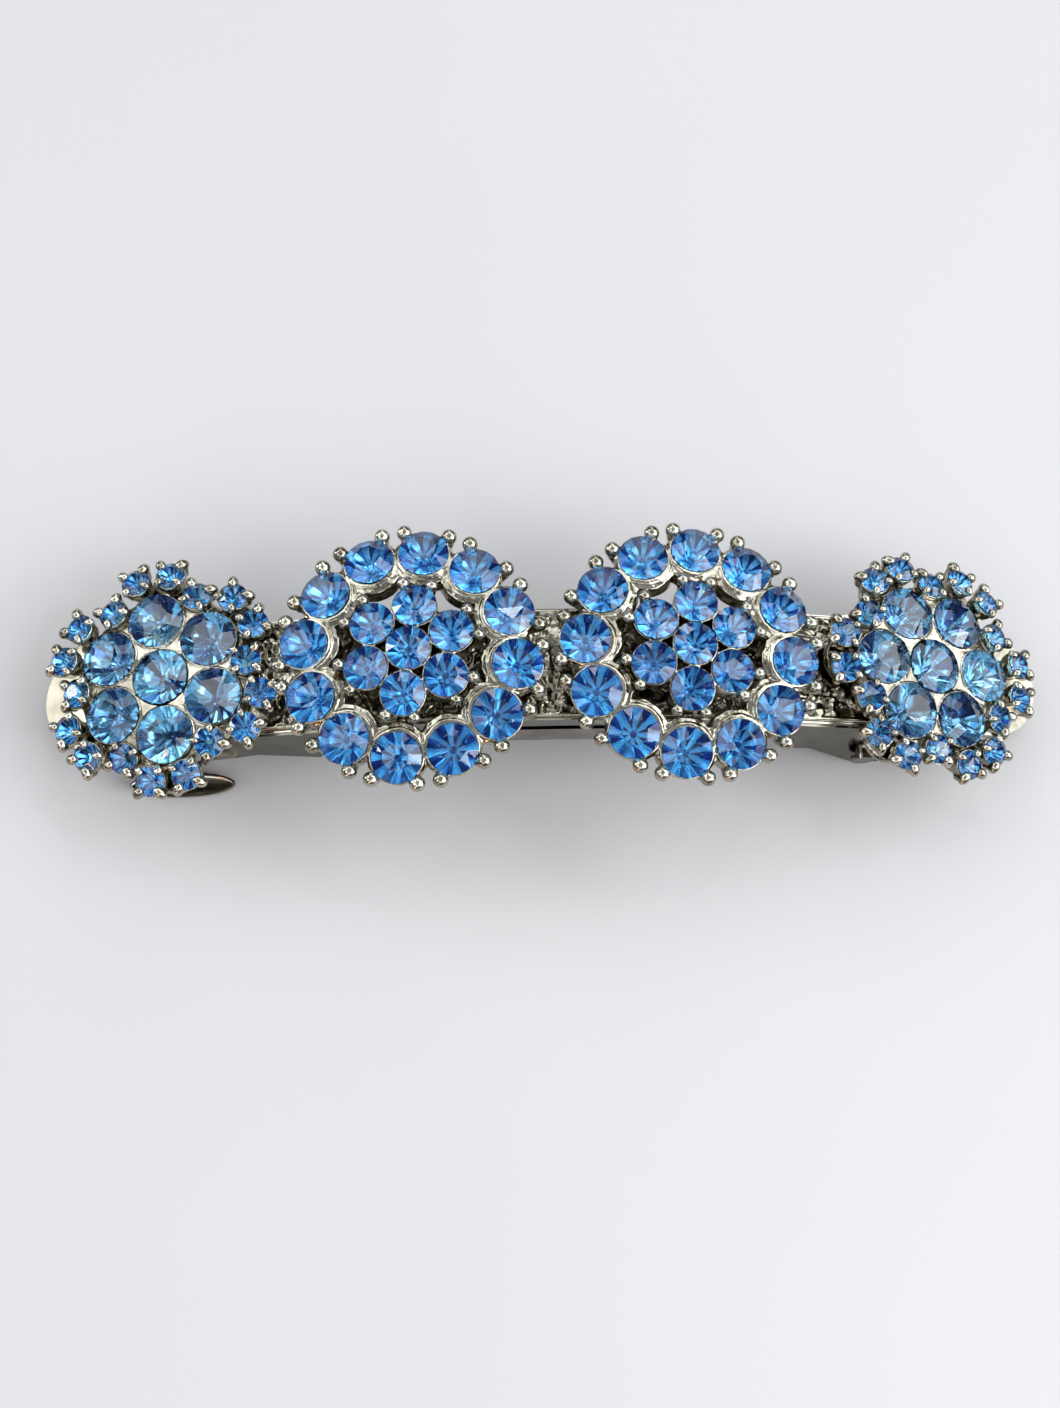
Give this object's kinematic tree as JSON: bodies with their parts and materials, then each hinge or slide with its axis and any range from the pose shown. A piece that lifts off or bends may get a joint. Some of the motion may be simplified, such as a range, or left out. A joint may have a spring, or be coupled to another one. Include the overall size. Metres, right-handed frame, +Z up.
{
  "type": "rhinestone hair clip",
  "caption": "Arched French hair clip with a sprung catch and hinged clasp arm, topped by openwork wreaths and clusters of round blue rhinestones in cast settings.",
  "frame": {"origin": "on the surface the closed clip rests on, under the middle of its box", "axes": "+X along the clip from the catch to the hinge, +Y to the back, +Z up through the stones"},
  "size_m": [0.0822, 0.0214, 0.0152],
  "materials": {
    "plate_steel": "bright nickel-plated steel",
    "arm_steel": "bright nickel-plated steel",
    "spring_steel": "bright plated spring steel",
    "pin_steel": "polished steel wire",
    "cast_metal": "rhodium-plated casting with a slightly uneven surface",
    "sapphire_stone": "foil-backed faceted crystal, sapphire blue",
    "pale_stone": "foil-backed faceted crystal, light sapphire"
  },
  "bodies": {
    "clip_body": {"top_plate": "plate_steel", "backing_strip": "cast_metal", "hinge_pin": "pin_steel", "catch_base": "spring_steel", "catch_rivets": "pin_steel", "left_wreath_setting": "cast_metal", "left_dome_setting": "cast_metal", "right_wreath_setting": "cast_metal", "right_dome_setting": "cast_metal", "left_wreath_rim_stones": "sapphire_stone", "left_wreath_petal_stones": "sapphire_stone", "left_wreath_centre_stone": "sapphire_stone", "left_dome_petal_stones": "pale_stone", "left_dome_rim_stones": "sapphire_stone", "left_dome_valley_stones": "sapphire_stone", "left_dome_centre_stone": "pale_stone", "right_wreath_rim_stones": "sapphire_stone", "right_wreath_petal_stones": "sapphire_stone", "right_wreath_centre_stone": "sapphire_stone", "right_dome_petal_stones": "pale_stone", "right_dome_rim_stones": "sapphire_stone", "right_dome_valley_stones": "sapphire_stone", "right_dome_centre_stone": "pale_stone"},
    "clasp_arm": {"clasp_arm": "arm_steel", "tension_bar_rivet": "pin_steel"},
    "tension_bar": {"tension_bar": "spring_steel"},
    "catch_wing_front": {"catch_wing_front": "spring_steel"},
    "catch_wing_back": {"catch_wing_back": "spring_steel"}
  },
  "joints": [
    {"name": "clasp_hinge", "type": "hinge", "parent": "clip_body", "child": "clasp_arm", "pos_m": [0.026, 0, 0.0023], "axis": [0, -1, 0], "range_deg": [0, 70]},
    {"name": "tension_bar_flex", "type": "hinge", "parent": "clasp_arm", "child": "tension_bar", "pos_m": [0.0229, 0, 0.0031], "axis": [0, 1, 0], "range_deg": [0, 3]},
    {"name": "catch_front_squeeze", "type": "hinge", "parent": "clip_body", "child": "catch_wing_front", "pos_m": [-0.032, -0.00252, 0.0037], "axis": [0.9532, 0, 0.3024], "range_deg": [0, 6], "stiffness_Nm_per_rad": 0.28},
    {"name": "catch_back_squeeze", "type": "hinge", "parent": "clip_body", "child": "catch_wing_back", "pos_m": [-0.032, 0.00252, 0.0037], "axis": [-0.9532, 0, -0.3024], "range_deg": [0, 6], "stiffness_Nm_per_rad": 0.28}
  ],
  "couplings": [
    {"joint": "tension_bar_flex", "follows": "clasp_hinge", "ratio": 0.04}
  ]
}
